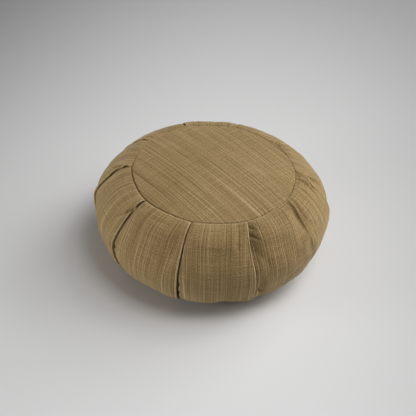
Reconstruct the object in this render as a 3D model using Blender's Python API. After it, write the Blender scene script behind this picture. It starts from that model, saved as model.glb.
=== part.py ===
"""Zafu: a round stuffed meditation cushion with a band of knife pleats.

Three sewn pieces: a pleated side, which is the filled body, and a round panel above and below
that is let into it along a seam. The front of the cushion faces -Y and the origin is under its
middle, on the floor. Lengths are metres unless a name ends in _MM.
"""
from math import cos, hypot, pi, radians, sin

import bmesh
import bpy

# Driving sizes of the stuffed cushion.
SEAM_RADIUS = 0.121
SEAM_HEIGHT = 0.1445
WAIST_RADIUS = 0.173
WAIST_HEIGHT = 0.0905
BASE_SEAM_RADIUS = 0.122
BASE_SEAM_HEIGHT = 0.009
REST_RADIUS = 0.103
CROWN = 0.0085
CROWN_POWER = 2.4
TURN_UP_POWER = 1.5

# The cloth of the panels, and the hairline that sewn pieces keep from each other. Straight edges
# between the stations of the round seam come up to 0.17 mm nearer than this.
CLOTH = 0.002
GAP = 0.0005

# The seat under each panel is this much lower than the panel, so that a slope keeps the hairline.
SEAT_CLEARANCE = 0.0007

# The seam runs a little straighter between two pleats than a true circle.
STRAIGHTNESS = 0.3

# The side's upper and lower quarter curves are ellipses, drawn in by these shares halfway along.
DRAWN_IN_ABOVE = 0.15
DRAWN_IN_BELOW = 0.02
ROWS = 18

# Angle down the side, from 0 at the top seam to pi at the lower one, over which pleats open.
OPENING_ANGLE = 0.42

# A pleat: the roll of its fold, how far the cloth runs back under it and how deep the tuck is.
ROLL_MM = 1.5
UNDERLAP_MM = 6.0
TUCK_DEPTH_MM = 7.5
FOOT_WIDTH_MM = 4.5

# How far the stuffing rounds each segment out between its pleats.
PUFF_MM = 2.6

# One row a pleat, going round from the left. Bearing in degrees from the front towards +X, then
# in millimetres how far its fold stands proud, how wide its tuck gapes and how deep the hollow is
# just before the fold.
PLEATS = (
    # bearing, proud, gape, hollow
    (-89.0, 4.0, 2.8, 0.2),
    (-50.8, 2.8, 2.4, 0.2),
    (-14.3, 2.0, 2.2, 0.2),
    (21.5, 2.0, 1.8, 0.6),
    (56.7, 2.2, 1.4, 2.8),
    (90.8, 4.4, 1.8, 3.6),
    (128.0, 2.4, 1.8, 0.8),
    (165.0, 2.2, 2.0, 0.2),
    (201.6, 2.4, 2.4, 0.2),
    (236.0, 2.6, 2.4, 0.4),
)

# Points round each panel between two pleats, as many as a segment of the side has.
PANEL_STATIONS = 11

# Colour of the olive-brown cloth, as linear red, green and blue.
CLOTH_COLOUR = (0.275, 0.198, 0.099, 1.0)
CLOTH_ROUGHNESS = 0.9

MM = 0.001
NORMAL_STEP = 0.01


def smooth(x):
    """Ease from 0 to 1 as x goes from 0 to 1."""
    x = min(max(x, 0.0), 1.0)
    return x * x * (3.0 - 2.0 * x)


def segments():
    """Each stretch of band as its first and last pleat, the last one unrolled past the first."""
    ends = PLEATS[1:] + ((PLEATS[0][0] + 360.0,) + PLEATS[0][1:],)
    return list(zip(PLEATS, ends))


def seam_outline(share, span):
    """The seam's radius as a share of its greatest, between pleats that lie span radians apart."""
    off_middle = (share - 0.5) * span
    chord = cos(span / 2.0) / cos(off_middle)
    return 1.0 - STRAIGHTNESS + STRAIGHTNESS * chord


def profile(angle, seam):
    """Radius and height of the unpleated side at an angle down it, from a seam of this radius."""
    above = angle < pi / 2.0
    drop = SEAM_HEIGHT - WAIST_HEIGHT if above else WAIST_HEIGHT - BASE_SEAM_HEIGHT
    drawn_in = DRAWN_IN_ABOVE if above else DRAWN_IN_BELOW
    fullness = 1.0 - drawn_in * sin(2.0 * angle) ** 2
    radius = seam + (WAIST_RADIUS - seam) * sin(angle) * fullness
    return radius, WAIST_HEIGHT + drop * cos(angle) * fullness


def profile_normal(angle, seam):
    """Outward and upward parts of the unpleated side's normal, from two points close by."""
    r_above, z_above = profile(max(angle - NORMAL_STEP, 0.0), seam)
    r_below, z_below = profile(min(angle + NORMAL_STEP, pi), seam)
    length = hypot(r_below - r_above, z_below - z_above)
    return (z_above - z_below) / length, (r_below - r_above) / length


def section(first, last):
    """Stations across one segment: share of its width, sideways move and lift in millimetres."""
    _, proud_a, gape_a, _ = first
    _, proud_b, _, hollow_b = last
    mouth = proud_a - 2.0 * ROLL_MM - gape_a
    return (
        # share, sideways, lift
        (0.000, -UNDERLAP_MM, -TUCK_DEPTH_MM),
        (0.004, 0.0, mouth),
        (0.012, FOOT_WIDTH_MM, mouth + 1.0),
        (0.140, 0.0, -0.6),
        (0.300, 0.0, 0.7 * PUFF_MM),
        (0.500, 0.0, PUFF_MM),
        (0.700, 0.0, 0.7 * PUFF_MM),
        (0.880, 0.0, proud_b - 0.8 - hollow_b),
        (0.984, -2.0 * ROLL_MM, proud_b),
        (0.992, 0.0, proud_b - ROLL_MM),
        (0.996, -ROLL_MM, proud_b - 2.0 * ROLL_MM),
    )


def side_ring(angle):
    """One row of points round the pleated side."""
    seam = SEAM_RADIUS if angle < pi / 2.0 else BASE_SEAM_RADIUS
    opening = smooth(angle / OPENING_ANGLE) * smooth((pi - angle) / OPENING_ANGLE)
    points = []
    for first, last in segments():
        start = radians(first[0])
        span = radians(last[0]) - start
        for share, sideways, lift in section(first, last):
            edge = seam * seam_outline(share, span) + GAP
            radius, height = profile(angle, edge)
            out, up = profile_normal(angle, edge)
            lift = lift * MM * opening
            bearing = start + share * span + sideways * MM * opening / radius
            reach = radius + out * lift
            points.append((reach * sin(bearing), -reach * cos(bearing), height + up * lift))
    return points


def panel_ring(radius, height):
    """A level ring of evenly spread points that keeps the seam's outline."""
    points = []
    for first, last in segments():
        start = radians(first[0])
        span = radians(last[0]) - start
        for station in range(PANEL_STATIONS):
            share = station / PANEL_STATIONS
            reach = radius * seam_outline(share, span)
            bearing = start + share * span
            points.append((reach * sin(bearing), -reach * cos(bearing), height))
    return points


def crown_height(radius):
    """Height of the top panel's face at a radius."""
    return SEAM_HEIGHT + CROWN * (1.0 - (radius / SEAM_RADIUS) ** CROWN_POWER)


def base_height(radius):
    """Height of the bottom panel's face: flat on the floor, then turned up to its seam."""
    rise = max(radius - REST_RADIUS, 0.0) / (BASE_SEAM_RADIUS - REST_RADIUS)
    return BASE_SEAM_HEIGHT * rise ** TURN_UP_POWER


def loft(name, start, rings, end, material):
    """A closed solid: a fan from start, a skin over the rings, and a fan to end."""
    shape = bmesh.new()
    loops = [[shape.verts.new(point) for point in ring] for ring in rings]
    count = len(loops[0])
    tip = shape.verts.new(start)
    tail = shape.verts.new(end)
    for i in range(count):
        j = (i + 1) % count
        shape.faces.new((tip, loops[0][i], loops[0][j]))
        shape.faces.new((tail, loops[-1][j], loops[-1][i]))
        for above, below in zip(loops, loops[1:]):
            shape.faces.new((above[i], below[i], below[j], above[j]))
    bmesh.ops.triangulate(shape, faces=shape.faces[:])
    bmesh.ops.recalc_face_normals(shape, faces=shape.faces[:])
    mesh = bpy.data.meshes.new(name)
    shape.to_mesh(mesh)
    shape.free()
    mesh.shade_smooth()
    mesh.set_sharp_from_angle(angle=radians(40.0))
    mesh.materials.append(material)
    return bpy.data.objects.new(name, mesh)


def cloth_material(name):
    """The plain woven cloth of one sewn piece."""
    material = bpy.data.materials.new(name)
    material.use_nodes = True
    shader = material.node_tree.nodes["Principled BSDF"]
    shader.inputs["Base Color"].default_value = CLOTH_COLOUR
    shader.inputs["Roughness"].default_value = CLOTH_ROUGHNESS
    shader.inputs["Metallic"].default_value = 0.0
    return material


def crown_radii():
    """Radii of the top panel's rings, from the middle to the seam."""
    return [SEAM_RADIUS * share for share in (0.34, 0.67, 0.88, 1.0)]


def base_radii():
    """Radii of the bottom panel's rings: two on its flat, then steps up the turned rim."""
    rim = BASE_SEAM_RADIUS - REST_RADIUS
    steps = [REST_RADIUS + rim * share for share in (0.4, 0.75, 1.0)]
    return [0.5 * REST_RADIUS, REST_RADIUS] + steps


def make_top_panel():
    """Round panel whose face is crowned by the stuffing."""
    radii = crown_radii()
    faces = [panel_ring(radius, crown_height(radius)) for radius in radii]
    backs = [panel_ring(radius, crown_height(radius) - CLOTH) for radius in reversed(radii)]
    top = (0.0, 0.0, crown_height(0.0))
    under = (0.0, 0.0, crown_height(0.0) - CLOTH)
    return loft("top_panel", top, faces + backs, under, cloth_material("top_cloth"))


def make_bottom_panel():
    """Round panel that lies flat on the floor and turns up to its seam."""
    radii = base_radii()
    backs = [panel_ring(radius, base_height(radius) + CLOTH) for radius in radii]
    faces = [panel_ring(radius, base_height(radius)) for radius in reversed(radii)]
    inner = (0.0, 0.0, CLOTH)
    return loft("bottom_panel", inner, backs + faces, (0.0, 0.0, 0.0), cloth_material("base_cloth"))


def make_side():
    """The stuffed body: pleated round the outside, with a shallow seat for each panel."""
    drop = CLOTH + SEAT_CLEARANCE
    lid = [panel_ring(radius, crown_height(radius) - drop) for radius in crown_radii()[:-1]]
    lid_edge = [(x, y, SEAM_HEIGHT - drop) for x, y, _ in side_ring(0.0)]
    rows = [side_ring(pi * row / ROWS) for row in range(ROWS + 1)]
    sole_edge = [(x, y, BASE_SEAM_HEIGHT + drop) for x, y, _ in rows[-1]]
    sole = [panel_ring(radius, base_height(radius) + drop) for radius in reversed(base_radii()[:-1])]
    rings = lid + [lid_edge] + rows + [sole_edge] + sole
    top = (0.0, 0.0, crown_height(0.0) - drop)
    bottom = (0.0, 0.0, drop)
    return loft("pleated_side", top, rings, bottom, cloth_material("side_cloth"))


def main():
    for item in list(bpy.data.objects):
        bpy.data.objects.remove(item, do_unlink=True)
    group = bpy.data.collections.new("zafu")
    bpy.context.scene.collection.children.link(group)
    for piece in (make_side(), make_top_panel(), make_bottom_panel()):
        group.objects.link(piece)


main()
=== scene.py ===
# %% [markdown]
# A zafu is a round meditation cushion. A maker cuts two round panels and one long side band,
# lays the band in knife pleats, sews it between the panels and stuffs it through a gap.
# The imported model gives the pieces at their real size. This lesson dresses them in finer
# surfaces worked out with numpy, and in a slubbed plain weave made of nodes.

import bpy
import numpy as np
from mathutils import Matrix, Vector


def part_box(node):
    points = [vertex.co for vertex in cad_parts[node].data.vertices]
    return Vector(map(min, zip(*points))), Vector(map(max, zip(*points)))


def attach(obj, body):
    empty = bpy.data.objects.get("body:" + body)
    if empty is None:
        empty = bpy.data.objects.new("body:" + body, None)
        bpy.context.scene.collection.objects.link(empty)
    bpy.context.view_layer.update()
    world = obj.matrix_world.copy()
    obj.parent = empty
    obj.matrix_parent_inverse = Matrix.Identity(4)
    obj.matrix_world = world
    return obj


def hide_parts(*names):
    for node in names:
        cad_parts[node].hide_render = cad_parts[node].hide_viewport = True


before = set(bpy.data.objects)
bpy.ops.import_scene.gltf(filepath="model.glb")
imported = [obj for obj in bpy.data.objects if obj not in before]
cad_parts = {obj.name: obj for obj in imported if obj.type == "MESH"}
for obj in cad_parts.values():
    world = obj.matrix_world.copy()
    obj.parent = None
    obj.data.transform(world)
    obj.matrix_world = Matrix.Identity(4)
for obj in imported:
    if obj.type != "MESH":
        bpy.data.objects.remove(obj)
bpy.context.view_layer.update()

# %% [markdown]
# The camera comes first. The photo looks down on the cushion from the front at 39 degrees, a
# little tilted. Its axes are built from that pitch and roll, which is plainer than turning the
# camera by trial.

# %% Camera
VIEW_PITCH = np.radians(39.0)
VIEW_ROLL = np.radians(3.16)
CAMERA_PLACE = (-0.0055, -1.1761, 1.0266)
PHOTO_WIDTH = 416
FOCAL_PIXELS = 1000.0
SENSOR_MM = 36.0


def camera_axes(pitch, roll):
    """Right, up and back: level axes tipped down by the pitch, then turned by the roll."""
    forward = np.array([0.0, np.cos(pitch), -np.sin(pitch)])
    right = np.array([1.0, 0.0, 0.0])
    up = np.array([0.0, np.sin(pitch), np.cos(pitch)])
    turned_right = np.cos(roll) * right + np.sin(roll) * up
    turned_up = np.cos(roll) * up - np.sin(roll) * right
    return turned_right, turned_up, -forward


lens = bpy.data.cameras.new("photo_lens")
lens.sensor_width = SENSOR_MM
lens.lens = FOCAL_PIXELS / PHOTO_WIDTH * SENSOR_MM
camera = bpy.data.objects.new("photo_camera", lens)
bpy.context.scene.collection.objects.link(camera)
axes = np.column_stack(camera_axes(VIEW_PITCH, VIEW_ROLL))
camera.matrix_world = Matrix.Translation(CAMERA_PLACE) @ Matrix(axes.tolist()).to_4x4()
bpy.context.scene.camera = camera
print("lens", round(lens.lens, 1), "mm")

# %% [markdown]
# These are the sizes the cushion was cut and stuffed to. The round panels meet the band at two
# seams, and between them the band bulges to the waist.

# %% Sizes of the stuffed cushion
MM = 0.001
SEAM_RADIUS = 0.121
SEAM_HEIGHT = 0.1445
WAIST_RADIUS = 0.173
WAIST_HEIGHT = 0.0905
BASE_SEAM_RADIUS = 0.122
BASE_SEAM_HEIGHT = 0.009
REST_RADIUS = 0.103
CROWN = 0.0085
CROWN_POWER = 2.4
TURN_UP_POWER = 1.5
DRAWN_IN_ABOVE = 0.15
DRAWN_IN_BELOW = 0.02
STRAIGHTNESS = 0.3
CLOTH = 0.0016
GAP = 0.0003
low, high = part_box("top_panel")
print("top panel across", round(high[0] - low[0], 4), "named", 2 * SEAM_RADIUS)


def ease(x):
    """Smooth step: 3 x squared less 2 x cubed, held at 0 below 0 and at 1 above 1."""
    x = np.clip(x, 0.0, 1.0)
    return x * x * (3.0 - 2.0 * x)


def bump(x, centre, width):
    """Bell curve: e to the minus square of the distance from the centre over the width."""
    return np.exp(-(((x - centre) / width) ** 2))


# %% [markdown]
# Each knife pleat is a row in two tables. The first holds the bearings its fold passes on the
# way down. The second holds its sizes in millimetres: how proud the fold stands, how wide the
# dark gap under it is, how high the next stretch's edge and foot come out there, the hollow just
# before the fold and how full the next stretch's shoulder is. One row a pleat keeps the small
# differences of hand sewing.

# %% The ten pleats
PATH_ANGLES = np.array([0.0, 0.35, 0.8, 1.3, 1.8, 2.4, 3.0])
PLEAT_PATHS = np.array([
    # bearing in degrees from the front towards +X, at each of the angles down the side
    (-89.0, -89.7, -89.6, -87.6, -87.4, -87.8, -88.0),
    (-49.9, -50.7, -51.1, -50.2, -52.6, -55.2, -56.0),
    (-12.5, -13.4, -13.9, -13.8, -14.3, -15.4, -15.6),
    (24.0, 21.6, 21.2, 21.3, 22.7, 25.0, 25.4),
    (61.2, 58.8, 58.4, 57.3, 58.4, 59.2, 59.4),
    (95.0, 86.4, 88.8, 86.0, 84.0, 84.0, 84.0),
    (128.5, 128.0, 128.6, 128.0, 128.0, 128.0, 128.0),
    (165.5, 165.4, 165.8, 165.2, 165.0, 165.0, 165.0),
    (202.5, 202.0, 201.6, 201.2, 201.6, 201.6, 201.6),
    (236.5, 237.4, 236.8, 236.2, 236.0, 236.0, 236.0),
])
PLEAT_COLUMNS = ("proud", "gap", "gap_low", "edge", "edge_low", "foot", "spread", "hollow",
                 "hollow_at", "shoulder")
PLEAT_SIZES = np.array([
    # proud, gap, gap low, edge, edge low, foot, its spread, hollow, angle of the hollow, shoulder
    (4.2, 1.5, 1.0, 1.6, 1.2, 0.8, 0.5, 0.6, 0.80, 1.5),
    (2.4, 1.7, 2.0, 1.4, 1.2, 0.8, 0.5, 0.6, 0.80, 4.5),
    (1.8, 0.5, 2.2, 2.0, 1.4, 1.8, 1.0, 1.0, 0.90, 7.0),
    (3.4, 0.9, 1.1, -1.4, 3.4, -1.0, 0.3, 0.4, 0.80, 6.0),
    (3.0, -0.2, -0.2, 1.7, 1.6, 2.0, 1.0, 4.6, 0.50, 1.5),
    (3.2, 0.5, 0.5, -0.8, 0.4, 0.2, 0.5, 1.6, 0.50, 0.0),
    (2.0, 0.8, 0.8, 0.8, 0.8, 0.4, 0.5, 0.8, 0.80, 0.0),
    (1.0, 0.8, 0.8, 0.4, 0.6, 0.3, 0.5, 0.3, 0.80, 0.0),
    (0.8, 1.0, 0.9, 0.2, 0.6, 0.2, 0.5, 0.3, 0.80, 0.0),
    (2.4, 1.4, 1.0, 0.8, 0.8, 0.4, 0.5, 0.6, 0.80, 0.0),
])
PLEAT = {name: PLEAT_SIZES[:, i] for i, name in enumerate(PLEAT_COLUMNS)}
COUNT = len(PLEAT_PATHS)
ROLL_MM = 1.0
UNDERLAP_MM = 6.5
TUCK_DEPTH_MM = 8.0
print(COUNT, "pleats")


def pleat_bearing(index, angle):
    """Bearing of a pleat's fold in radians at angles down the side: a broken line through the
    row's stations, rounded by averaging it over five places nearby."""
    spread = np.linspace(-0.22, 0.22, 5)
    places = np.clip(np.asarray(angle)[..., None] + spread, 0.0, PATH_ANGLES[-1])
    return np.radians(np.interp(places, PATH_ANGLES, PLEAT_PATHS[index]).mean(-1))


def segment_ends(index, angle):
    """Bearing where a segment of band starts and the turn to where it ends, in radians."""
    start = pleat_bearing(index, angle)
    after = pleat_bearing((index + 1) % COUNT, angle)
    return start, after - start + (2 * np.pi if index == COUNT - 1 else 0.0)


# %% [markdown]
# The bare side is a surface of two parameters: the bearing, and the angle down a drawn-in
# ellipse from the top seam at 0 to the lower one at pi. All the cloth is a lift off it.

# %% The bare side
def profile(angle, seam):
    """Radius and height: two quarter ellipses that meet at the waist, drawn in halfway by a
    share of the squared sine of twice the angle."""
    above = angle < np.pi / 2
    drop = np.where(above, SEAM_HEIGHT - WAIST_HEIGHT, WAIST_HEIGHT - BASE_SEAM_HEIGHT)
    drawn_in = np.where(above, DRAWN_IN_ABOVE, DRAWN_IN_BELOW)
    fullness = 1.0 - drawn_in * np.sin(2.0 * angle) ** 2
    radius = seam + (WAIST_RADIUS - seam) * np.sin(angle) * fullness
    return radius, WAIST_HEIGHT + drop * np.cos(angle) * fullness


def profile_normal(angle, seam):
    """Outward and upward parts of the profile's normal, from two points close by."""
    step = 0.01
    r_above, z_above = profile(np.maximum(angle - step, 0.0), seam)
    r_below, z_below = profile(np.minimum(angle + step, np.pi), seam)
    length = np.hypot(r_below - r_above, z_below - z_above)
    return (z_above - z_below) / length, (r_below - r_above) / length


def seam_outline(share, span):
    """A seam's radius as a share of its greatest: partly the circle, partly the chord between
    two pleats that lie span apart."""
    chord = np.cos(span / 2.0) / np.cos((share - 0.5) * span)
    return 1.0 - STRAIGHTNESS + STRAIGHTNESS * chord


def place_side(angle, share, start, span, sideways, lift):
    """Points of the side: share of the way along a segment, moved sideways and lifted off the
    bare surface along its normal, both in millimetres."""
    seam = np.where(angle < np.pi / 2, SEAM_RADIUS, BASE_SEAM_RADIUS)
    edge = seam * seam_outline(share, span) + GAP
    radius, height = profile(angle, edge)
    out, up = profile_normal(angle, edge)
    bearing = start + share * span + sideways * MM / radius
    reach = radius + out * lift * MM
    points = np.stack([reach * np.sin(bearing), -reach * np.cos(bearing),
                       height + up * lift * MM], -1)
    normal = np.stack([out * np.sin(bearing), -out * np.cos(bearing), up], -1)
    return points, normal, bearing, radius


# %% [markdown]
# The stuffing rounds each segment of band out between its pleats and leaves small wrinkles. A
# coarse cloth for each segment, sewn down round its border, is blown out by a cloth simulation
# with pressure and no gravity. How far each point moved is kept and read back on a finer grid.

# %% Blow the segments out
BAG_COLUMNS = 33
BAG_ROWS = 53
BAG_ROOM_MM = 1.0
BAG_SLACK = -0.035
PRESSURE = 4.0
CLOTH_MASS = 0.3
STRETCH = 15.0
SHEAR = 5.0
BENDING = 0.4
LUMPS_MM = 0.25
LAST_FRAME = 18
MOST_PUSH_MM = 6.0
bag_angle, bag_share = np.meshgrid(np.linspace(0.0, np.pi, BAG_ROWS),
                                   np.linspace(0.0, 1.0, BAG_COLUMNS), indexing="ij")


def grid_faces(rows, columns, first=0):
    """Four-sided faces of an open grid of points, row by row."""
    corner = first + np.arange(rows - 1)[:, None] * columns + np.arange(columns - 1)[None, :]
    around = [corner, corner + columns, corner + columns + 1, corner + 1]
    return np.stack(around, -1).reshape(-1, 4)


def bag_grids():
    """Rest points and normals of every segment's coarse cloth, slightly uneven from a seed."""
    chance = np.random.default_rng(7)
    grids, normals = [], []
    for i in range(COUNT):
        start, span = segment_ends(i, bag_angle)
        lumps = chance.normal(0.0, LUMPS_MM, bag_share.shape)
        room = BAG_ROOM_MM * np.sin(np.pi * bag_share) * np.sin(bag_angle)
        lift = room + lumps * (room > 0.05)
        points, normal, _, _ = place_side(bag_angle, bag_share, start, span, 0.0, lift)
        grids.append(points)
        normals.append(normal)
    return np.array(grids), np.array(normals)


def blow_out(grids):
    """Cloth simulation of the coarse cloths with their borders pinned. Returns moved points."""
    count, rows, columns = grids.shape[:3]
    each = rows * columns
    faces = np.concatenate([grid_faces(rows, columns, i * each) for i in range(count)])
    mesh = bpy.data.meshes.new("bag")
    mesh.from_pydata(grids.reshape(-1, 3).tolist(), [], faces.tolist())
    bag = bpy.data.objects.new("bag", mesh)
    bpy.context.scene.collection.objects.link(bag)
    border = np.zeros((count, rows, columns), dtype=bool)
    border[:, 0], border[:, -1], border[:, :, 0], border[:, :, -1] = True, True, True, True
    sewn = bag.vertex_groups.new(name="sewn")
    sewn.add(np.flatnonzero(border.ravel()).tolist(), 1.0, "REPLACE")
    cloth = bag.modifiers.new("stuffing", "CLOTH")
    cloth.settings.quality = 5
    cloth.settings.mass = CLOTH_MASS
    cloth.settings.tension_stiffness = STRETCH
    cloth.settings.compression_stiffness = STRETCH
    cloth.settings.shear_stiffness = SHEAR
    cloth.settings.bending_stiffness = BENDING
    cloth.settings.use_pressure = True
    cloth.settings.uniform_pressure_force = PRESSURE
    cloth.settings.vertex_group_mass = "sewn"
    cloth.settings.shrink_min = BAG_SLACK
    cloth.settings.effector_weights.gravity = 0.0
    cloth.collision_settings.use_collision = False
    cloth.point_cache.frame_start = 1
    cloth.point_cache.frame_end = LAST_FRAME
    for step in range(1, LAST_FRAME + 1):
        bpy.context.scene.frame_set(step)
    blown = bag.evaluated_get(bpy.context.evaluated_depsgraph_get())
    shaped = blown.to_mesh()
    moved = np.empty(len(shaped.vertices) * 3, dtype=np.float32)
    shaped.vertices.foreach_get("co", moved)
    blown.to_mesh_clear()
    bpy.data.objects.remove(bag, do_unlink=True)
    bpy.data.meshes.remove(mesh)
    bpy.context.scene.frame_set(1)
    return moved.reshape(grids.shape).astype(float)


rest, rest_normals = bag_grids()
push = ((blow_out(rest) - rest) * rest_normals).sum(-1) / MM
print("pushed out by", push.mean().round(2), "mm, most", push.max().round(2), push.min().round(2))
push = np.clip(push, -MOST_PUSH_MM, MOST_PUSH_MM)

# %% [markdown]
# A pleat's cross-section is a row of stations: down in the tuck, up over the mouth, across the
# puffed middle, over the rolled fold and back under it. A cubic runs smoothly through them.
# The same row of stations is worked out at every angle down the side, so folds open from the
# seam and close again underneath.

# %% Stations across a segment
# How many columns of the grid lie between each station and the next.
SAMPLES = (2, 2, 3, 3, 3, 6, 6, 7, 8, 8, 5, 4, 4, 3, 3, 3, 2, 2, 2)
SHOULDER_AT = 0.56
SHOULDER_WIDTH = 0.42


def spline(values):
    """Points through a row of stations by Catmull and Rom's cubic, with SAMPLES of them from each
    station to the next. The first and last stations only steer the ends."""
    gap = np.repeat(np.arange(len(SAMPLES)), SAMPLES)
    t = np.concatenate([np.arange(n) / n for n in SAMPLES])[:, None]
    p0, p1, p2, p3 = values[gap], values[gap + 1], values[gap + 2], values[gap + 3]
    return 0.5 * (2 * p1 + (p2 - p0) * t + (2 * p0 - 5 * p1 + 4 * p2 - p3) * t ** 2
                  + (3 * p1 - p0 - 3 * p2 + p3) * t ** 3)


NOTCHES = (
    # pleat, then angles down the side where small puckers pull the mouth open
    (1, (1.66, 1.84, 2.02)),
    (2, (1.82, 2.10)),
)
NOTCH_MM = 2.8
NOTCH_WIDTH = 0.05
LOW_FROM = 1.85
LOW_OVER = 0.4
WIDENS_FROM = 0.2
WIDENS_OVER = 1.6


def notch(index, angle):
    """How far, in millimetres, puckers pull a tuck's mouth sideways at angles down the side."""
    rows = [places for pleat, places in NOTCHES if pleat == index]
    pulls = [NOTCH_MM * bump(angle, at, NOTCH_WIDTH) for places in rows for at in places]
    return sum(pulls, 0.0 * angle)


def side_stations(index, angle):
    """Stations across the segment that follows pleat index, for each row: the share of the way
    to the next pleat, the sideways move and the lift, both in millimetres."""
    nxt = (index + 1) % COUNT
    one = np.ones_like(angle)
    low = ease((angle - LOW_FROM) / LOW_OVER)
    widens = ease((angle - WIDENS_FROM) / WIDENS_OVER)
    gap = PLEAT["gap"][index] * (1.0 - widens) + PLEAT["gap_low"][index] * widens
    gap = gap + notch(index, angle)
    edge = PLEAT["edge"][index] * (1.0 - low) + PLEAT["edge_low"][index] * low
    foot = PLEAT["foot"][index] * (1.0 - low) + 0.5 * PLEAT["edge_low"][index] * low
    wide = PLEAT["spread"][index] * foot
    proud = PLEAT["proud"][nxt]
    hollow = PLEAT["hollow"][nxt] * bump(angle, PLEAT["hollow_at"][nxt], 0.5)
    full = PLEAT["shoulder"][index] * bump(angle, SHOULDER_AT, SHOULDER_WIDTH)
    rows = [
        # share, sideways, lift
        (0.000, -UNDERLAP_MM, -TUCK_DEPTH_MM),
        (0.001, 0.5 * gap - 1.2, 0.4 * edge - 0.8 * TUCK_DEPTH_MM),
        (0.002, gap - 0.4, edge - 2.6),
        (0.003, gap + 0.1, edge - 0.6),
        (0.005, gap + 1.2, edge + 0.1 * full),
        (0.012, gap + 4.0, foot + 0.4 * full),
        (0.080, 3.0, wide + 0.7 * full),
        (0.180, 0.0, 0.4 * wide + 0.95 * full),
        (0.320, 0.0, full),
        (0.530, 0.0, full),
        (0.740, 0.0, 0.1 * proud + 0.8 * full),
        (0.830, 0.0, 0.35 * proud - 0.3 * hollow + 0.45 * full),
        (0.900, 0.0, 0.7 * proud - 0.8 * hollow + 0.1 * full),
        (0.948, 0.0, 0.85 * proud - hollow),
        (0.984, -1.2, 0.9 * proud - 0.4 * hollow),
        (0.991, -1.0, proud + 0.6 * ROLL_MM),
        (0.9935, 0.0, proud - 0.2 * ROLL_MM),
        (0.996, -0.4, proud - 1.6 * ROLL_MM),
        (0.998, -0.4 * UNDERLAP_MM, 0.5 * proud - 0.45 * TUCK_DEPTH_MM),
    ]
    return [np.array([row[part] * one for row in rows]) for part in range(3)]


# %% [markdown]
# The rows of the grid lie closer together at the two seams, where the cloth turns sharply. Each
# stretch's stations are joined to its neighbours' before the cubic runs through them, so the
# side is one unbroken skin all the way round.

# %% Carry the stations down the side
OPENS_OVER = 0.13
CLOSES_OVER = 0.34
SEAM_ROWS = 8
SIDE_ROWS = 128
near = np.linspace(0.0, 0.05, SEAM_ROWS, endpoint=False)
between = np.linspace(0.05, np.pi - 0.05, SIDE_ROWS - 2 * SEAM_ROWS + 2)
ANGLES = np.concatenate([near, between[:-1], np.pi - near[::-1]])
print(len(ANGLES), "rows down the side")


def side_grid():
    """Every column of every segment, row by row: share, sideways, lift, start, turn, segment."""
    opening = ease(ANGLES / OPENS_OVER) * ease((np.pi - ANGLES) / CLOSES_OVER)
    parts = [side_stations(i, ANGLES) for i in range(COUNT)]
    columns = []
    for i in range(COUNT):
        before, after = parts[i - 1], parts[(i + 1) % COUNT]
        share = spline(np.vstack([before[0][-1:] - 1.0, parts[i][0], after[0][:2] + 1.0]))
        sideways = spline(np.vstack([before[1][-1:], parts[i][1], after[1][:2]]))
        lift = spline(np.vstack([before[2][-1:], parts[i][2], after[2][:2]]))
        start, span = segment_ends(i, ANGLES)
        flat = 0.0 * share
        columns.append((share, sideways * opening, lift * opening, start + flat, span + flat,
                        i + flat))
    return [np.vstack(stack).T for stack in zip(*columns)]


share, sideways, lift, start, span, segment = side_grid()
angle = ANGLES[:, None] + 0.0 * share
print("side grid", share.shape, "rows by columns")

# %% [markdown]
# The blown-out shape is read on this finer grid by weighing the four coarse points round each
# fine one. Two passes of averaging down the rows and columns take off the coarse grid's corners.

# %% Add the stuffing's push
def read_grid(values, segment, row, column):
    """Bilinear reading of values[segment] at fractional rows and columns."""
    row = np.clip(row, 0.0, values.shape[1] - 1.001)
    column = np.clip(column, 0.0, values.shape[2] - 1.001)
    r, c = row.astype(int), column.astype(int)
    y, x = row - r, column - c
    upper = values[segment, r, c] * (1 - x) + values[segment, r, c + 1] * x
    lower = values[segment, r + 1, c] * (1 - x) + values[segment, r + 1, c + 1] * x
    return upper * (1 - y) + lower * y


def soften(values, passes):
    """Average each point with its neighbours down the rows and across the columns."""
    for _ in range(passes):
        down = np.vstack([values[:1], values, values[-1:]])
        values = 0.25 * down[:-2] + 0.5 * down[1:-1] + 0.25 * down[2:]
        values = 0.5 * values + 0.25 * (np.roll(values, 1, 1) + np.roll(values, -1, 1))
    return values


PUSH_WEIGHT = 0.8
puff = read_grid(push, segment.astype(int), angle / np.pi * (BAG_ROWS - 1),
                 share * (BAG_COLUMNS - 1))
lift = lift + PUSH_WEIGHT * soften(puff, 3)
print("puff read back", puff.mean().round(2), "mm on average")

# %% [markdown]
# Hand-laid pleats leave second tucks, valleys and puckers. Each is a short broken line on the
# side with a bell-shaped cross-section, pressed in or, with a minus, raised.

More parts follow.
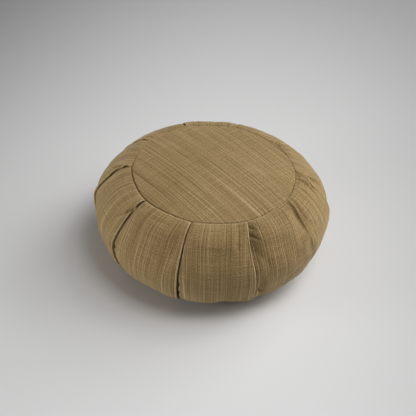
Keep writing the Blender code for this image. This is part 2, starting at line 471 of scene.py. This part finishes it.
# %% Creases
seam_below = np.where(ANGLES < np.pi / 2, SEAM_RADIUS, BASE_SEAM_RADIUS)
along_radius, along_height = profile(ANGLES, seam_below)
steps_down = np.hypot(np.diff(along_radius), np.diff(along_height))
ARC = np.concatenate([[0.0], np.cumsum(steps_down)])
CREASES = (
    # half-width and depth in millimetres, then places as bearing in degrees and angle down
    (1.9, 5.5, ((-50.4, 0.32), (-52.6, 0.56), (-55.2, 0.82))),
    (2.6, 2.0, ((-54.6, 0.72), (-56.8, 0.95), (-58.0, 1.22))),
    (3.0, 2.0, ((-60.4, 0.50), (-62.2, 0.80), (-62.8, 1.18))),
    (1.9, 5.0, ((-89.6, 0.24), (-92.4, 0.46), (-96.0, 0.70))),
    (1.3, 3.4, ((-128.2, 0.03), (-127.9, 0.16), (-127.6, 0.28))),
    (1.6, 1.4, ((-146.5, 0.10), (-145.3, 0.30))),
    (1.4, 3.0, ((-12.2, 0.02), (-12.7, 0.09))),
    (1.5, 2.4, ((22.6, 0.17), (24.6, 0.26), (26.6, 0.36))),
    (1.8, 2.8, ((21.6, 0.40), (24.2, 0.50), (27.6, 0.68))),
    (2.6, 3.4, ((24.6, 1.98), (28.5, 2.18))),
    (2.2, -1.2, ((30.0, 2.20), (38.0, 2.12), (49.0, 1.90), (57.0, 1.70))),
    (2.2, -1.0, ((30.0, 2.42), (40.0, 2.35), (54.0, 2.10))),
    (3.6, 2.2, ((-17.5, 0.30), (-18.0, 0.90), (-18.4, 1.30))),
    (3.6, 1.0, ((-21.8, 0.45), (-21.8, 1.20))),
    (3.4, 1.4, ((17.2, 0.25), (13.9, 0.62), (15.0, 0.95))),
    (1.5, -3.2, ((87.0, 0.05), (84.8, 0.22), (83.2, 0.45), (82.0, 0.70), (80.0, 0.95))),
    (2.2, -3.2, ((91.8, 0.26), (93.6, 0.52), (95.6, 0.80), (95.2, 1.12))),
    (1.6, 1.6, ((86.2, 0.20), (85.2, 0.45), (85.4, 0.70), (84.0, 1.05))),
)
LINE_START = 0.35
LINE_END = 0.2
STARTS_OVER = 0.25
ENDS_OVER = 0.4


def crease(bearing, radius, half_width, depth, places):
    """Press in along a broken line: at each point the depth times a bell of the distance from
    the line over the half-width, eased down to a share of it at the line's two ends."""
    best = np.zeros_like(bearing)
    runs = len(places) - 1
    for i in range(runs):
        (b0, a0), (b1, a1) = places[i], places[i + 1]
        x = (bearing - np.radians(b0)) * radius
        y = ARC[:, None] - np.interp(a0, ANGLES, ARC)
        dx = np.radians(b1 - b0) * radius
        dy = np.interp(a1, ANGLES, ARC) - np.interp(a0, ANGLES, ARC)
        along = np.clip((x * dx + y * dy) / (dx ** 2 + dy ** 2), 0.0, 1.0)
        away = np.hypot(x - along * dx, y - along * dy) / MM
        whole = (i + along) / runs
        begun = LINE_START + (1.0 - LINE_START) * ease(whole / STARTS_OVER)
        ended = LINE_END + (1.0 - LINE_END) * ease((1.0 - whole) / ENDS_OVER)
        best = np.maximum(best, bump(away, 0.0, half_width) * begun * ended)
    return depth * best


_, _, bearing, radius = place_side(angle, share, start, span, sideways, lift)
turned = np.where(bearing > np.pi, bearing - 2 * np.pi, bearing)
for half_width, depth, places in CREASES:
    lift = lift - crease(turned, radius, half_width, depth, places)
print(len(CREASES), "creases, lift from", lift.min().round(1), "to", lift.max().round(1), "mm")

# %% [markdown]
# Stitches gather the cloth, so tiny puckers run down from each seam and die out. They come from
# chance heights spaced round the seam. The very edge is rolled down into the seam, which makes
# its fine dark line.

# %% Puckers and the rolled edge
PUCKER_MM = 0.45
PUCKER_PITCH = 0.006
PUCKER_REACH = 0.011
EDGE_DIP_MM = 4.5
EDGE_ROLL_MM = 1.7
LUMP_MM = 0.45
FLUSH = 0.12
DEEPEST_TURN = -0.35


def chance_ring(turn, count, seed):
    """Chance heights at count evenly spaced bearings, joined by eased slopes round the ring."""
    heights = np.random.default_rng(seed).normal(0.0, 1.0, count)
    place = np.mod(turn, 2 * np.pi) / (2 * np.pi) * count
    first = place.astype(int) % count
    part = ease(place - np.floor(place))
    return heights[first] * (1 - part) + heights[(first + 1) % count] * part


def chance_lumps(turn, down, seed):
    """Broad unevenness: eight waves of chance direction and phase, added up."""
    chance = np.random.default_rng(seed)
    total = 0.0 * turn
    for _ in range(8):
        waves, tilt = chance.integers(6, 26), chance.uniform(-9.0, 9.0)
        phase = chance.uniform(0, 6.3)
        total = total + np.cos(waves * turn + tilt * down + phase)
    return total / 2.8


def roll_down(away_mm, turn):
    """Quarter-round dip at an edge: full at the edge and nothing a roll's width away from it.
    The seam sinks deepest at the front and lies almost flush at the back."""
    near = np.clip(1.0 - away_mm / EDGE_ROLL_MM, 0.0, 1.0)
    sunk = FLUSH + (1.0 - FLUSH) * ease((np.cos(turn - DEEPEST_TURN) + 0.35) / 0.9)
    return EDGE_DIP_MM * sunk * (1.0 - np.sqrt(1.0 - 0.98 * near ** 2))


from_top = ARC[:, None] + 0.0 * angle
from_base = ARC[-1] - from_top
puckers = int(2 * np.pi * SEAM_RADIUS / PUCKER_PITCH)
fade = np.exp(-from_top / PUCKER_REACH) * ease(from_top / 0.002)
lift = lift + PUCKER_MM * fade * chance_ring(bearing, puckers, 21)
fade = np.exp(-from_base / (2 * PUCKER_REACH)) * ease(from_base / 0.002)
lift = lift + 1.6 * PUCKER_MM * fade * chance_ring(bearing, puckers // 2, 22)
lift = lift + LUMP_MM * np.sin(angle) * chance_lumps(bearing, angle, 23)
lift = lift - roll_down(from_top / MM, bearing) - roll_down(from_base / MM, bearing)
side_points, _, bearing, radius = place_side(angle, share, start, span, sideways, lift)
print("side reaches", np.hypot(side_points[..., 0], side_points[..., 1]).max().round(4), "m")


# %% [markdown]
# A grid becomes a mesh by joining each point to its neighbours. The side closes on itself, so
# its last column joins its first, and a hidden lid and sole close it as one stuffed body.

# %% Grids into meshes
def ring_faces(rows, columns):
    """Four-sided faces between successive closed rings of points, ring by ring."""
    a = np.arange(rows - 1)[:, None] * columns + np.arange(columns)[None, :]
    b = np.arange(rows - 1)[:, None] * columns + (np.arange(columns)[None, :] + 1) % columns
    return np.stack([a, a + columns, b + columns, b], -1).reshape(-1, 4)


def closed_rings(name, rings, top, bottom):
    """A closed body, shaded smooth: rings of equal length, with a fan to a point at each end."""
    rows, columns = rings.shape[:2]
    points = np.vstack([rings.reshape(-1, 3), [top], [bottom]])
    i = np.arange(columns)
    j = (i + 1) % columns
    tip, tail, last = rows * columns, rows * columns + 1, (rows - 1) * columns
    top_fan = np.stack([np.full(columns, tip), i, j], -1).tolist()
    bottom_fan = np.stack([np.full(columns, tail), last + j, last + i], -1).tolist()
    quads = ring_faces(rows, columns)
    mesh = bpy.data.meshes.new(name)
    mesh.from_pydata(points.tolist(), [], quads.tolist() + top_fan + bottom_fan)
    mesh.shade_smooth()
    piece = bpy.data.objects.new(name, mesh)
    bpy.context.scene.collection.objects.link(piece)
    print(name, 2 * len(quads) + 2 * columns, "triangles")
    return piece


LID_DROP = 0.004
LID_SHARE = 0.97
lid = side_points[0] * (LID_SHARE, LID_SHARE, 1.0) - (0.0, 0.0, LID_DROP)
sole = side_points[-1] * (LID_SHARE, LID_SHARE, 1.0) + (0.0, 0.0, LID_DROP)
lid_middle = (0.0, 0.0, SEAM_HEIGHT - LID_DROP)
sole_middle = (0.0, 0.0, BASE_SEAM_HEIGHT + LID_DROP)
side = closed_rings("stuffed_side", np.concatenate([lid[None], side_points, sole[None]]),
                    lid_middle, sole_middle)


# %% [markdown]
# The top panel is a disc on a polar grid: rings that follow the seam, lifted by the crown. It is
# let down at the very edge, where the stitches pull it into the seam.

# %% The top panel
RING_STEPS = 40
FACE_RINGS = 44
RIM_RINGS = 13
RIM_WIDTH = 0.006
SUNK = 0.0004


def seam_ring():
    """Bearing and outline share of the seam at RING_STEPS points a segment."""
    steps = np.arange(RING_STEPS) / RING_STEPS
    turn, shape = [], []
    for i in range(COUNT):
        begin, sweep = segment_ends(i, 0.0)
        turn.append(begin + steps * sweep)
        shape.append(seam_outline(steps, sweep))
    return np.concatenate(turn), np.concatenate(shape)


TURN, SHAPE = seam_ring()


def panel_rings(radii, edge_radius, heights):
    """Rings over a round panel: each radius takes more of the seam's outline towards the edge."""
    reach = radii[:, None] * (1.0 + (SHAPE - 1.0) * (radii[:, None] / edge_radius) ** 3)
    return np.stack([reach * np.sin(TURN), -reach * np.cos(TURN), heights + 0.0 * reach], -1)


rim_share = np.sin(np.linspace(0.0, np.pi / 2, RIM_RINGS + 1))[1:]
rim = SEAM_RADIUS - RIM_WIDTH + RIM_WIDTH * rim_share
top_radii = np.concatenate([np.linspace(0.004, SEAM_RADIUS - RIM_WIDTH, FACE_RINGS), rim])
crown = SEAM_HEIGHT + CROWN * (1.0 - (top_radii / SEAM_RADIUS) ** CROWN_POWER)
dip = roll_down((SEAM_RADIUS - top_radii[:, None]) / MM, TURN) * MM
ring_share = (top_radii / SEAM_RADIUS)[:, None]
gather = 0.5 * PUCKER_MM * MM * chance_ring(TURN, puckers, 24) * ring_share ** 16
uneven = 0.5 * MM * chance_lumps(TURN, 0.0 * TURN, 25) * ring_share ** 2 * (1.0 - ring_share ** 8)
top_heights = crown[:, None] - dip + gather * (ring_share < 0.99) + uneven - SUNK
top_face = panel_rings(top_radii, SEAM_RADIUS, top_heights)
top_back = top_face[::-1] - (0.0, 0.0, CLOTH)
top_z = float(top_heights[0].mean())
top = closed_rings("top_cloth", np.concatenate([top_face, top_back]), (0.0, 0.0, top_z),
                   (0.0, 0.0, top_z - CLOTH))

# %% [markdown]
# The bottom panel lies flat on the floor and turns up to the lower seam.

# %% The bottom panel
FLAT_RINGS = 14
TURNED_RINGS = 11
flat_radii = np.linspace(0.01, REST_RADIUS, FLAT_RINGS)
turned_radii = np.linspace(REST_RADIUS, BASE_SEAM_RADIUS, TURNED_RINGS + 1)[1:]
base_radii = np.concatenate([flat_radii, turned_radii])
rise = np.clip((base_radii - REST_RADIUS) / (BASE_SEAM_RADIUS - REST_RADIUS), 0.0, 1.0)
base_heights = (BASE_SEAM_HEIGHT * rise ** TURN_UP_POWER)[:, None]
base_face = panel_rings(base_radii, BASE_SEAM_RADIUS, base_heights)
base_back = base_face + (0.0, 0.0, CLOTH)
base = closed_rings("base_cloth", np.concatenate([base_back, base_face[::-1]]),
                    (0.0, 0.0, CLOTH), (0.0, 0.0, 0.0))


# %% [markdown]
# On the band the weave follows a UV map, in metres of cloth, so it turns under each fold with
# the cloth. A segment is narrower at its ends, so the map fans in part of the way.

# %% Cloth coordinates on the band
FAN = 0.35
SEGMENT_STEP = 0.16
strip = (1.0 - FAN) * radius * span + FAN * WAIST_RADIUS * span
cloth_u = SEGMENT_STEP * segment + (share - 0.5) * strip + sideways * MM
cloth_v = ARC[:, None] + 0.0 * share


def lay_uv(piece, u, v):
    """A UV map in metres: each corner takes the cloth place of its point on the side's grid. The
    lid and the sole take the nearest row's."""
    rows, columns = u.shape
    mesh = piece.data
    layer = mesh.uv_layers.new(name="cloth_run")
    index = np.empty(len(mesh.loops), dtype=np.int64)
    mesh.loops.foreach_get("vertex_index", index)
    row = np.clip(index // columns - 1, 0, rows - 1)
    column = index % columns
    uv = np.stack([u[row, column], v[row, column]], -1)
    layer.data.foreach_set("uv", uv.astype(np.float32).ravel())


lay_uv(side, cloth_u, cloth_v)
print("band of cloth", ARC[-1].round(3), "m from seam to seam")

# %% [markdown]
# Fold edges and the top of the band at the front catch the light, so a painted highlight makes
# their colour paler. A number on each point, 1 on a fold's edge or along the top of the band at
# the front and 0 elsewhere, is kept on the mesh for the weave to read.

# %% Paint highlights on the fold edges
HIGHLIGHT_SHARE = 0.99
HIGHLIGHT_WIDTH = 0.005
HIGHLIGHT_FROM = 0.1
HIGHLIGHT_UNTIL = 2.7
TOP_EDGE_WIDTH_MM = 0.9
TOP_EDGE_HIGHLIGHT = 0.8
# Painted highlight: 1 where a fold's edge or the front's top edge catches the light, 0 elsewhere.
edge_highlight = bump(share, HIGHLIGHT_SHARE, HIGHLIGHT_WIDTH)
edge_highlight = edge_highlight * ease(angle / HIGHLIGHT_FROM) * ease((HIGHLIGHT_UNTIL - angle) / 0.5)
top_edge_highlight = bump(from_top / MM, EDGE_ROLL_MM, TOP_EDGE_WIDTH_MM)
top_edge_highlight = top_edge_highlight * ease((np.cos(bearing) - 0.2) / 0.6)
edge_highlight = np.maximum(edge_highlight, TOP_EDGE_HIGHLIGHT * top_edge_highlight)
# The lid and the sole repeat the nearest row, and the two points in their middles get no painted
# highlight.
every_row = np.vstack([edge_highlight[:1], edge_highlight, edge_highlight[-1:]])
every_point = np.append(every_row.ravel(), [0.0, 0.0])
highlight_marks = side.data.attributes.new("painted_edge_highlight", "FLOAT", "POINT")
highlight_marks.data.foreach_set("value", every_point.astype(np.float32))
print("painted edge highlight on", int((edge_highlight > 0.5).sum()), "points")

# %% [markdown]
# The cloth is a plain weave of uneven yarn: long lighter and darker slubs run one way and finer,
# shorter ones cross them. Noise stretched along the yarn gives both. One value drives colour
# and relief, so a thick light yarn also stands up.

# %% The slubbed weave
def maths(tree, operation, first, second=None, third=None):
    """One Math node. Numbers are set on its sockets and node outputs are linked."""
    node = tree.nodes.new("ShaderNodeMath")
    node.operation = operation
    for socket, value in zip(node.inputs, (first, second, third)):
        if value is None:
            continue
        if isinstance(value, (int, float)):
            socket.default_value = value
        else:
            tree.links.new(value, socket)
    return node.outputs[0]


def yarn_noise(tree, place, across, along, seed, detail):
    """Noise whose grains are one over across wide and one over along long, in metres."""
    mapping = tree.nodes.new("ShaderNodeMapping")
    mapping.inputs["Location"].default_value = (seed * 7.3, seed * 3.1, 0.0)
    mapping.inputs["Scale"].default_value = (across, along, 1.0)
    tree.links.new(place, mapping.inputs["Vector"])
    noise = tree.nodes.new("ShaderNodeTexNoise")
    noise.noise_dimensions = "2D"
    noise.inputs["Scale"].default_value = 1.0
    noise.inputs["Detail"].default_value = detail
    tree.links.new(mapping.outputs["Vector"], noise.inputs["Vector"])
    return noise.outputs["Fac"]


def held_range(tree, value, low, high):
    """Map low to high onto 0 to 1, held at the ends."""
    node = tree.nodes.new("ShaderNodeMapRange")
    node.inputs["From Min"].default_value = low
    node.inputs["From Max"].default_value = high
    tree.links.new(value, node.inputs["Value"])
    return node.outputs["Result"]


def add_weighted(tree, level, value, weight):
    """Level plus weight times how far a noise value is from its middle, a half."""
    centred = maths(tree, "SUBTRACT", value, 0.5)
    return maths(tree, "MULTIPLY_ADD", centred, weight, level)


CLOTH_DARK = (0.130, 0.078, 0.025, 1.0)
CLOTH_MID = (0.300, 0.200, 0.083, 1.0)
CLOTH_LIGHT = (0.53, 0.39, 0.20, 1.0)
CLOTH_ROUGHNESS = 0.88
CLOTH_SPECULAR = 0.2
SHEEN = 0.35
SHEEN_ROUGHNESS = 0.45
SHEEN_TINT = (0.95, 0.78, 0.52, 1.0)
YARN_BUMP = 0.0009
BUMP_STRENGTH = 0.6
# How much paler the painted highlight makes the colour on fold edges.
HIGHLIGHT_PALER = 0.55
PLAIN_LEVEL = 0.48
SLUBS = (
    # grains across, along, seed, where they begin and are full, and how much they lighten
    (620.0, 4.0, 1.0, 0.58, 0.72, 0.36),
    (620.0, 5.0, 6.0, 0.41, 0.25, -0.32),
)
YARNS = (
    # grains across, along, seed, detail and how much they vary the level
    (900.0, 9.0, 2.0, 2.0, 0.60),
    (60.0, 3.0, 3.0, 2.0, 0.14),
    (20.0, 600.0, 4.0, 2.0, 0.44),
    (600.0, 600.0, 5.0, 1.0, 0.70),
)


def cloth_material(name, uv_name=None, turn=0.0, highlight_name=None):
    """Principled cloth: three tones mixed by stretched noise, which is also the relief. The
    pattern reads the named UV map, or else Object coordinates turned by an angle. A named
    number on the points paints a highlight: the colour is paler where fold edges catch the light."""
    material = bpy.data.materials.new(name)
    material.use_nodes = True
    tree = material.node_tree
    shader = tree.nodes["Principled BSDF"]
    if uv_name:
        source = tree.nodes.new("ShaderNodeUVMap")
        source.uv_map = uv_name
        place = source.outputs["UV"]
    else:
        source = tree.nodes.new("ShaderNodeTexCoord")
        mapping = tree.nodes.new("ShaderNodeMapping")
        mapping.inputs["Rotation"].default_value = (0.0, 0.0, turn)
        tree.links.new(source.outputs["Object"], mapping.inputs["Vector"])
        place = mapping.outputs["Vector"]
    level = PLAIN_LEVEL
    for across, along, seed, begins, full, weight in SLUBS:
        slubs = held_range(tree, yarn_noise(tree, place, across, along, seed, 1.0), begins, full)
        level = maths(tree, "MULTIPLY_ADD", slubs, weight, level)
    for across, along, seed, detail, weight in YARNS:
        yarns = yarn_noise(tree, place, across, along, seed, detail)
        level = add_weighted(tree, level, yarns, weight)
    # Painted highlight: the named number makes the colour paler on fold edges that catch the
    # light.
    if highlight_name:
        highlight_marks = tree.nodes.new("ShaderNodeAttribute")
        highlight_marks.attribute_name = highlight_name
        level = maths(tree, "MULTIPLY_ADD", highlight_marks.outputs["Fac"], HIGHLIGHT_PALER, level)
    ramp = tree.nodes.new("ShaderNodeValToRGB")
    ramp.color_ramp.elements[0].color = CLOTH_DARK
    ramp.color_ramp.elements[1].color = CLOTH_LIGHT
    ramp.color_ramp.elements.new(0.5).color = CLOTH_MID
    tree.links.new(level, ramp.inputs["Fac"])
    tree.links.new(ramp.outputs["Color"], shader.inputs["Base Color"])
    relief = tree.nodes.new("ShaderNodeBump")
    relief.inputs["Strength"].default_value = BUMP_STRENGTH
    relief.inputs["Distance"].default_value = YARN_BUMP
    tree.links.new(level, relief.inputs["Height"])
    tree.links.new(relief.outputs["Normal"], shader.inputs["Normal"])
    shader.inputs["Roughness"].default_value = CLOTH_ROUGHNESS
    shader.inputs["Specular IOR Level"].default_value = CLOTH_SPECULAR
    shader.inputs["Sheen Weight"].default_value = SHEEN
    shader.inputs["Sheen Tint"].default_value = SHEEN_TINT
    shader.inputs["Sheen Roughness"].default_value = SHEEN_ROUGHNESS
    return material


TOP_GRAIN = np.radians(48.5)
band_weave = cloth_material("band_weave", uv_name="cloth_run", highlight_name="painted_edge_highlight")
side.data.materials.append(band_weave)
panel_weave = cloth_material("panel_weave", turn=TOP_GRAIN + np.pi / 2)
top.data.materials.append(panel_weave)
base.data.materials.append(panel_weave)
print("weaves", [m.name for m in bpy.data.materials if "weave" in m.name])

# %% [markdown]
# Each piece rides on the one body and stands for its imported solid. The side is
# padded. The panels are flat-cut rounds of cloth, stretched over the stuffing.

# %% Tie the pieces to the frame
for piece, node in ((side, "pleated_side"), (top, "top_panel"), (base, "bottom_panel")):
    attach(piece, "root")
    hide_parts(node)
for piece, cut_radius in ((top, SEAM_RADIUS), (base, BASE_SEAM_RADIUS)):
    print(piece.name, "cut from a square", 2 * cut_radius, "m wide")

# %% [markdown]
# The floor is a pale seamless sweep. Its colour carries a painted pool of light: brightest just
# in front of the cushion and greying towards the corners, its paint darkens with the distance
# from one bright spot.

# %% Floor
HALF_FLOOR = 4.0
# Painted pool of light: the floor's grey at the bright spot and far from it, the spot's place and
# its reach.
FLOOR_BRIGHT = 0.78
FLOOR_DIM = 0.25
PAINTED_LIGHT_SPOT = (-0.08, -0.47)
FALL_OFF = (0.93, 2.45)
floor_mesh = bpy.data.meshes.new("studio_floor")
corners = [(-HALF_FLOOR, -HALF_FLOOR, 0.0), (HALF_FLOOR, -HALF_FLOOR, 0.0),
           (HALF_FLOOR, HALF_FLOOR, 0.0), (-HALF_FLOOR, HALF_FLOOR, 0.0)]
floor_mesh.from_pydata(corners, [], [(0, 1, 2, 3)])
floor = bpy.data.objects.new("studio_floor", floor_mesh)
bpy.context.scene.collection.objects.link(floor)


def floor_material():
    """Pale matt paint with a painted pool of light: its grey falls smoothly with the distance
    from one bright spot.
    """
    material = bpy.data.materials.new("pale_sweep_painted_light")
    material.use_nodes = True
    tree = material.node_tree
    shader = tree.nodes["Principled BSDF"]
    source = tree.nodes.new("ShaderNodeTexCoord")
    mapping = tree.nodes.new("ShaderNodeMapping")
    mapping.inputs["Location"].default_value = (-PAINTED_LIGHT_SPOT[0] / FALL_OFF[0],
                                                -PAINTED_LIGHT_SPOT[1] / FALL_OFF[1], 0.0)
    mapping.inputs["Scale"].default_value = (1 / FALL_OFF[0], 1 / FALL_OFF[1], 1.0)
    tree.links.new(source.outputs["Object"], mapping.inputs["Vector"])
    length = tree.nodes.new("ShaderNodeVectorMath")
    length.operation = "LENGTH"
    tree.links.new(mapping.outputs["Vector"], length.inputs[0])
    # Painted light: the grey falls from the bright spot towards the corners.
    fall = tree.nodes.new("ShaderNodeMapRange")
    fall.interpolation_type = "SMOOTHERSTEP"
    fall.inputs["From Min"].default_value = 0.0
    fall.inputs["From Max"].default_value = 1.0
    fall.inputs["To Min"].default_value = FLOOR_BRIGHT
    fall.inputs["To Max"].default_value = FLOOR_DIM
    tree.links.new(length.outputs["Value"], fall.inputs["Value"])
    tree.links.new(fall.outputs["Result"], shader.inputs["Base Color"])
    shader.inputs["Roughness"].default_value = 0.9
    shader.inputs["Specular IOR Level"].default_value = 0.1
    return material


floor_mesh.materials.append(floor_material())
print("floor", 2 * HALF_FLOOR, "m across")

# %% [markdown]
# The light is soft and mostly from the right, high up and a little behind, with a broad fill
# overhead. One weak low lamp on the left keeps the shaded side of the cloth readable.

# %% Light
def soft_lamp(name, place, aim, size, watts):
    """A square area lamp at a place, turned to face a point."""
    lamp = bpy.data.lights.new(name, "AREA")
    lamp.shape = "SQUARE"
    lamp.size = size
    lamp.energy = watts
    holder = bpy.data.objects.new(name, lamp)
    bpy.context.scene.collection.objects.link(holder)
    place, aim = np.array(place), np.array(aim)
    back = (place - aim) / np.linalg.norm(place - aim)
    right = np.cross((0.0, 0.0, 1.0), back)
    right = right / np.linalg.norm(right)
    turned_axes = np.column_stack([right, np.cross(back, right), back])
    spin = Matrix(turned_axes.tolist()).to_4x4()
    holder.matrix_world = Matrix.Translation(place.tolist()) @ spin
    return holder


AIM = (0.0, 0.0, 0.08)
LAMPS = (
    # name, place and size across in metres, watts
    ("overhead", (0.1, 0.05, 2.2), 3.0, 6.0),
    ("front_high", (0.5, -0.55, 2.1), 0.8, 12.0),
    ("right_high", (1.2, 0.1, 1.7), 1.2, 14.0),
    ("right", (1.5, -0.1, 0.8), 0.6, 4.0),
    ("right_back", (1.2, 0.9, 0.8), 1.2, 17.0),
    ("left_low", (-1.3, -0.4, 0.25), 0.5, 9.0),
)
for name, place, size, watts in LAMPS:
    soft_lamp(name, place, AIM, size, watts)
print(len(LAMPS), "lamps,", sum(row[-1] for row in LAMPS), "W in all")
world = bpy.data.worlds.new("studio")
bpy.context.scene.world = world
world.use_nodes = True
world.node_tree.nodes["Background"].inputs["Color"].default_value = (1.0, 1.0, 1.0, 1.0)
world.node_tree.nodes["Background"].inputs["Strength"].default_value = 0.02
bpy.context.scene.view_settings.view_transform = "Standard"
